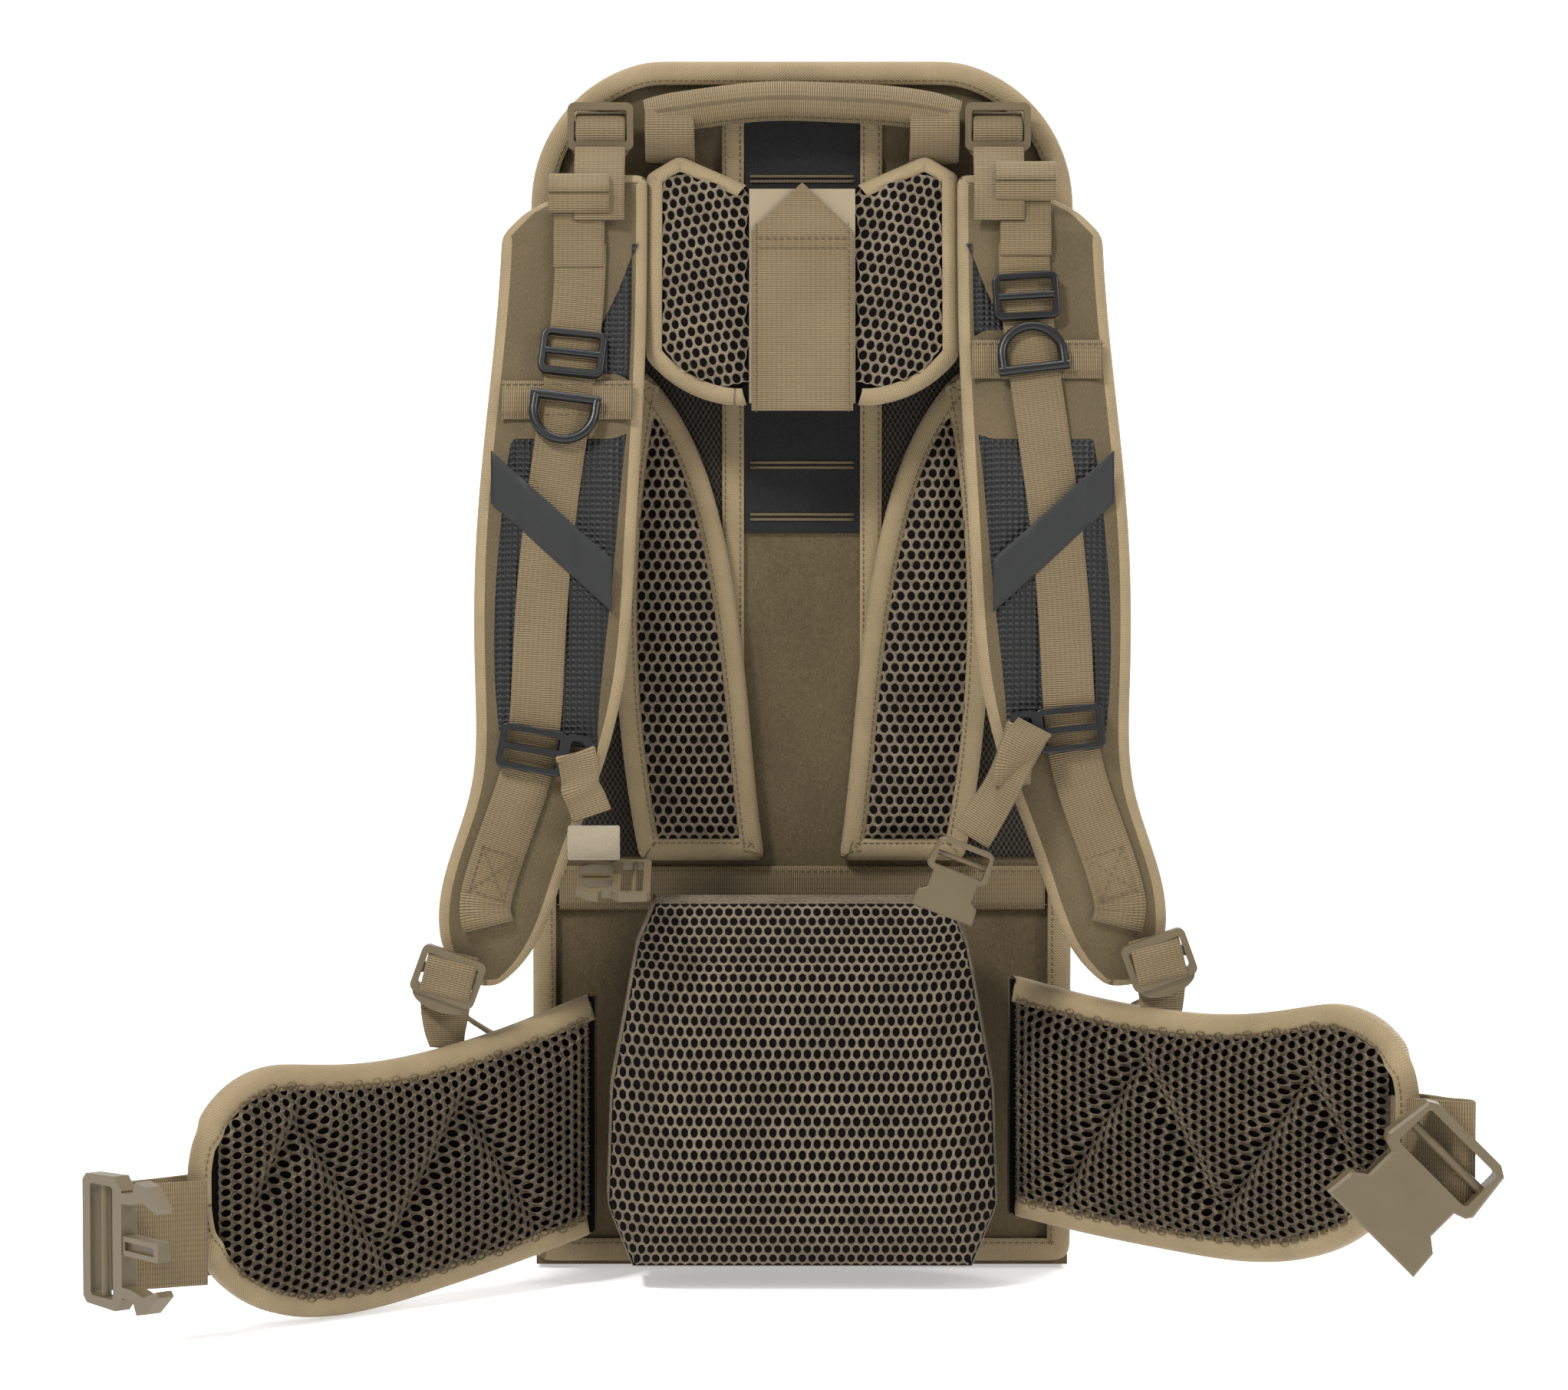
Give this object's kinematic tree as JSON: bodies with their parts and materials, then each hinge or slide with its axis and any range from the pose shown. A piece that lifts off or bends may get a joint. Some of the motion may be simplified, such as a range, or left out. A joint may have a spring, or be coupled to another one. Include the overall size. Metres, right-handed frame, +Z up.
{
  "type": "hunting backpack",
  "caption": "Framed hunting pack seen from its padded harness: contoured shoulder straps, yoke, lumbar pad, winged hip belt, release buckles, zipped front panel.",
  "frame": {"origin": "middle of the underside of the base panel", "axes": "+Z up, +X to the right of someone facing the harness, -Y out of the harness, +Y out of the zipped front panel"},
  "size_m": [0.6547, 0.4469, 0.6056],
  "materials": {
    "hdpe_sheet": "matte",
    "stay_aluminium": "brushed",
    "pack_cloth": "woven nylon",
    "lining": "plain weave",
    "binding": "grosgrain",
    "zip": "coil zip",
    "black_loop": "ribbed loop",
    "air_mesh": "spacer mesh",
    "loop_cloth": "brushed loop",
    "strap_cloth": "woven nylon",
    "grid_mesh": "ripstop grid",
    "black_label": "satin",
    "black_plastic": "moulded acetal",
    "tan_plastic": "moulded acetal",
    "webbing": "woven webbing"
  },
  "bodies": {
    "pack": {"bag_shell": "pack_cloth", "base_panel": "pack_cloth", "frame_sheet": "hdpe_sheet", "stays": "stay_aluminium", "hydration_sleeve": "lining", "edge_binding": "binding", "zip_track": "zip", "compression_webbing": "webbing", "compression_locks": "tan_plastic", "torso_ladder": "black_loop", "ladder_strips": "binding", "waist_webbing": "webbing", "lumbar_pad": "air_mesh", "yoke_panel": "loop_cloth", "side_mesh_left": "air_mesh", "side_mesh_right": "air_mesh", "back_pad_left": "air_mesh", "back_pad_right": "air_mesh", "yoke_left": "air_mesh", "yoke_right": "air_mesh", "lifter_webbing_left": "webbing", "lifter_webbing_right": "webbing", "lower_webbing_left": "webbing", "lower_webbing_right": "webbing"},
    "front_panel": {"front_panel": "pack_cloth", "front_pocket": "pack_cloth"},
    "yoke_tab": {"yoke_tab": "webbing"},
    "haul_handle": {"haul_handle": "webbing"},
    "zip_pull_left": {"zip_pull_left": "zip"},
    "strap_left": {"strap_pad_left": "strap_cloth", "strap_webbing_left": "webbing", "grid_panel_left": "grid_mesh", "cross_webbing_left": "webbing", "label_band_left": "black_label"},
    "triglide_left": {"triglide_left": "black_plastic"},
    "dring_left": {"dring_left": "black_plastic"},
    "slider_left": {"sternum_slider_left": "black_plastic"},
    "lower_lock_left": {"lower_lock_left": "tan_plastic"},
    "lifter_lock_left": {"lifter_lock_left": "tan_plastic"},
    "belt_left": {"belt_wing_left": "air_mesh", "belt_webbing_left": "webbing"},
    "zip_pull_right": {"zip_pull_right": "zip"},
    "strap_right": {"strap_pad_right": "strap_cloth", "strap_webbing_right": "webbing", "grid_panel_right": "grid_mesh", "cross_webbing_right": "webbing", "label_band_right": "black_label"},
    "triglide_right": {"triglide_right": "black_plastic"},
    "dring_right": {"dring_right": "black_plastic"},
    "slider_right": {"sternum_slider_right": "black_plastic"},
    "lower_lock_right": {"lower_lock_right": "tan_plastic"},
    "lifter_lock_right": {"lifter_lock_right": "tan_plastic"},
    "belt_right": {"belt_wing_right": "air_mesh", "belt_webbing_right": "webbing"},
    "sternum_left": {"sternum_webbing_left": "webbing", "sternum_male": "tan_plastic"},
    "sternum_right": {"sternum_webbing_right": "webbing", "sternum_female": "tan_plastic"},
    "belt_male": {"belt_male": "tan_plastic"},
    "belt_female": {"belt_female": "tan_plastic"}
  },
  "joints": [
    {"name": "front_panel_open", "type": "hinge", "parent": "pack", "child": "front_panel", "pos_m": [0, 0.07525, 0.03], "axis": [-1, 0, 0], "range_deg": [0, 80]},
    {"name": "haul_handle_lift", "type": "hinge", "parent": "pack", "child": "haul_handle", "pos_m": [0, -0.078, 0.558], "axis": [1, 0, 0], "range_deg": [0, 50]},
    {"name": "yoke_tab_peel", "type": "hinge", "parent": "pack", "child": "yoke_tab", "pos_m": [0, -0.11703, 0.43], "axis": [1, 0, 0], "range_deg": [0, 110]},
    {"name": "zip_pull_left_slide", "type": "slide", "parent": "pack", "child": "zip_pull_left", "axis": [0, 0, 1], "range_m": [-0.34, 0.08]},
    {"name": "strap_left_swing", "type": "hinge", "parent": "pack", "child": "strap_left", "pos_m": [0, -0.097, 0.548], "axis": [-1, 0, 0], "range_deg": [0, 28], "deforming": ["lifter_webbing_left", "lower_webbing_left"]},
    {"name": "triglide_left_slide", "type": "slide", "parent": "strap_left", "child": "triglide_left", "axis": [0.1118, 0.3298, 0.9374], "range_m": [-0.004, 0.01]},
    {"name": "dring_left_swing", "type": "hinge", "parent": "strap_left", "child": "dring_left", "pos_m": [-0.11528, -0.13702, 0.43702], "axis": [-0.9913, 0.0448, 0.1238], "range_deg": [0, 120]},
    {"name": "slider_left_slide", "type": "slide", "parent": "strap_left", "child": "slider_left", "axis": [0.1737, 0.0329, 0.9843], "range_m": [-0.012, 0.028]},
    {"name": "sternum_left_swing", "type": "hinge", "parent": "slider_left", "child": "sternum_left", "pos_m": [-0.10975, -0.16923, 0.26269], "axis": [0, -1, 0], "range_deg": [0, 60]},
    {"name": "lower_lock_left_tilt", "type": "hinge", "parent": "strap_left", "child": "lower_lock_left", "pos_m": [-0.16901, -0.165, 0.16422], "axis": [-0.9397, 0, 0.342], "range_deg": [0, 35]},
    {"name": "lifter_lock_left_tilt", "type": "hinge", "parent": "pack", "child": "lifter_lock_left", "pos_m": [-0.1, -0.089, 0.57975], "axis": [-1, 0, 0], "range_deg": [0, 30]},
    {"name": "belt_left_wrap", "type": "hinge", "parent": "pack", "child": "belt_left", "pos_m": [-0.098, -0.111, 0.0845], "axis": [0, 0, 1], "range_deg": [-5, 30]},
    {"name": "zip_pull_right_slide", "type": "slide", "parent": "pack", "child": "zip_pull_right", "axis": [0, 0, 1], "range_m": [-0.34, 0.08]},
    {"name": "strap_right_swing", "type": "hinge", "parent": "pack", "child": "strap_right", "pos_m": [0, -0.097, 0.548], "axis": [-1, 0, 0], "range_deg": [0, 28], "deforming": ["lifter_webbing_right", "lower_webbing_right"]},
    {"name": "triglide_right_slide", "type": "slide", "parent": "strap_right", "child": "triglide_right", "axis": [-0.0617, 0.2332, 0.9705], "range_m": [0, 0.012]},
    {"name": "dring_right_swing", "type": "hinge", "parent": "strap_right", "child": "dring_right", "pos_m": [0.11348, -0.13187, 0.45105], "axis": [0.9927, 0.0415, 0.1135], "range_deg": [0, 120]},
    {"name": "slider_right_slide", "type": "slide", "parent": "strap_right", "child": "slider_right", "axis": [-0.1077, 0.0483, 0.993], "range_m": [-0.012, 0.028]},
    {"name": "sternum_right_swing", "type": "hinge", "parent": "slider_right", "child": "sternum_right", "pos_m": [0.10812, -0.16879, 0.27435], "axis": [0, 1, 0], "range_deg": [0, 60]},
    {"name": "lower_lock_right_tilt", "type": "hinge", "parent": "strap_right", "child": "lower_lock_right", "pos_m": [0.17001, -0.165, 0.17222], "axis": [-0.9397, 0, -0.342], "range_deg": [0, 35]},
    {"name": "lifter_lock_right_tilt", "type": "hinge", "parent": "pack", "child": "lifter_lock_right", "pos_m": [0.097, -0.089, 0.57975], "axis": [-1, 0, 0], "range_deg": [0, 30]},
    {"name": "belt_right_wrap", "type": "hinge", "parent": "pack", "child": "belt_right", "pos_m": [0.098, -0.111, 0.093], "axis": [0, 0, -1], "range_deg": [-5, 30]},
    {"name": "belt_male_turn", "type": "hinge", "parent": "belt_left", "child": "belt_male", "pos_m": [-0.32, -0.303, 0.05], "axis": [0, 0, 1], "range_deg": [-50, 20]},
    {"name": "belt_female_turn", "type": "hinge", "parent": "belt_right", "child": "belt_female", "pos_m": [0.29644, -0.289, 0.08644], "axis": [-0.7071, 0, 0.7071], "range_deg": [0, 25]}
  ]
}
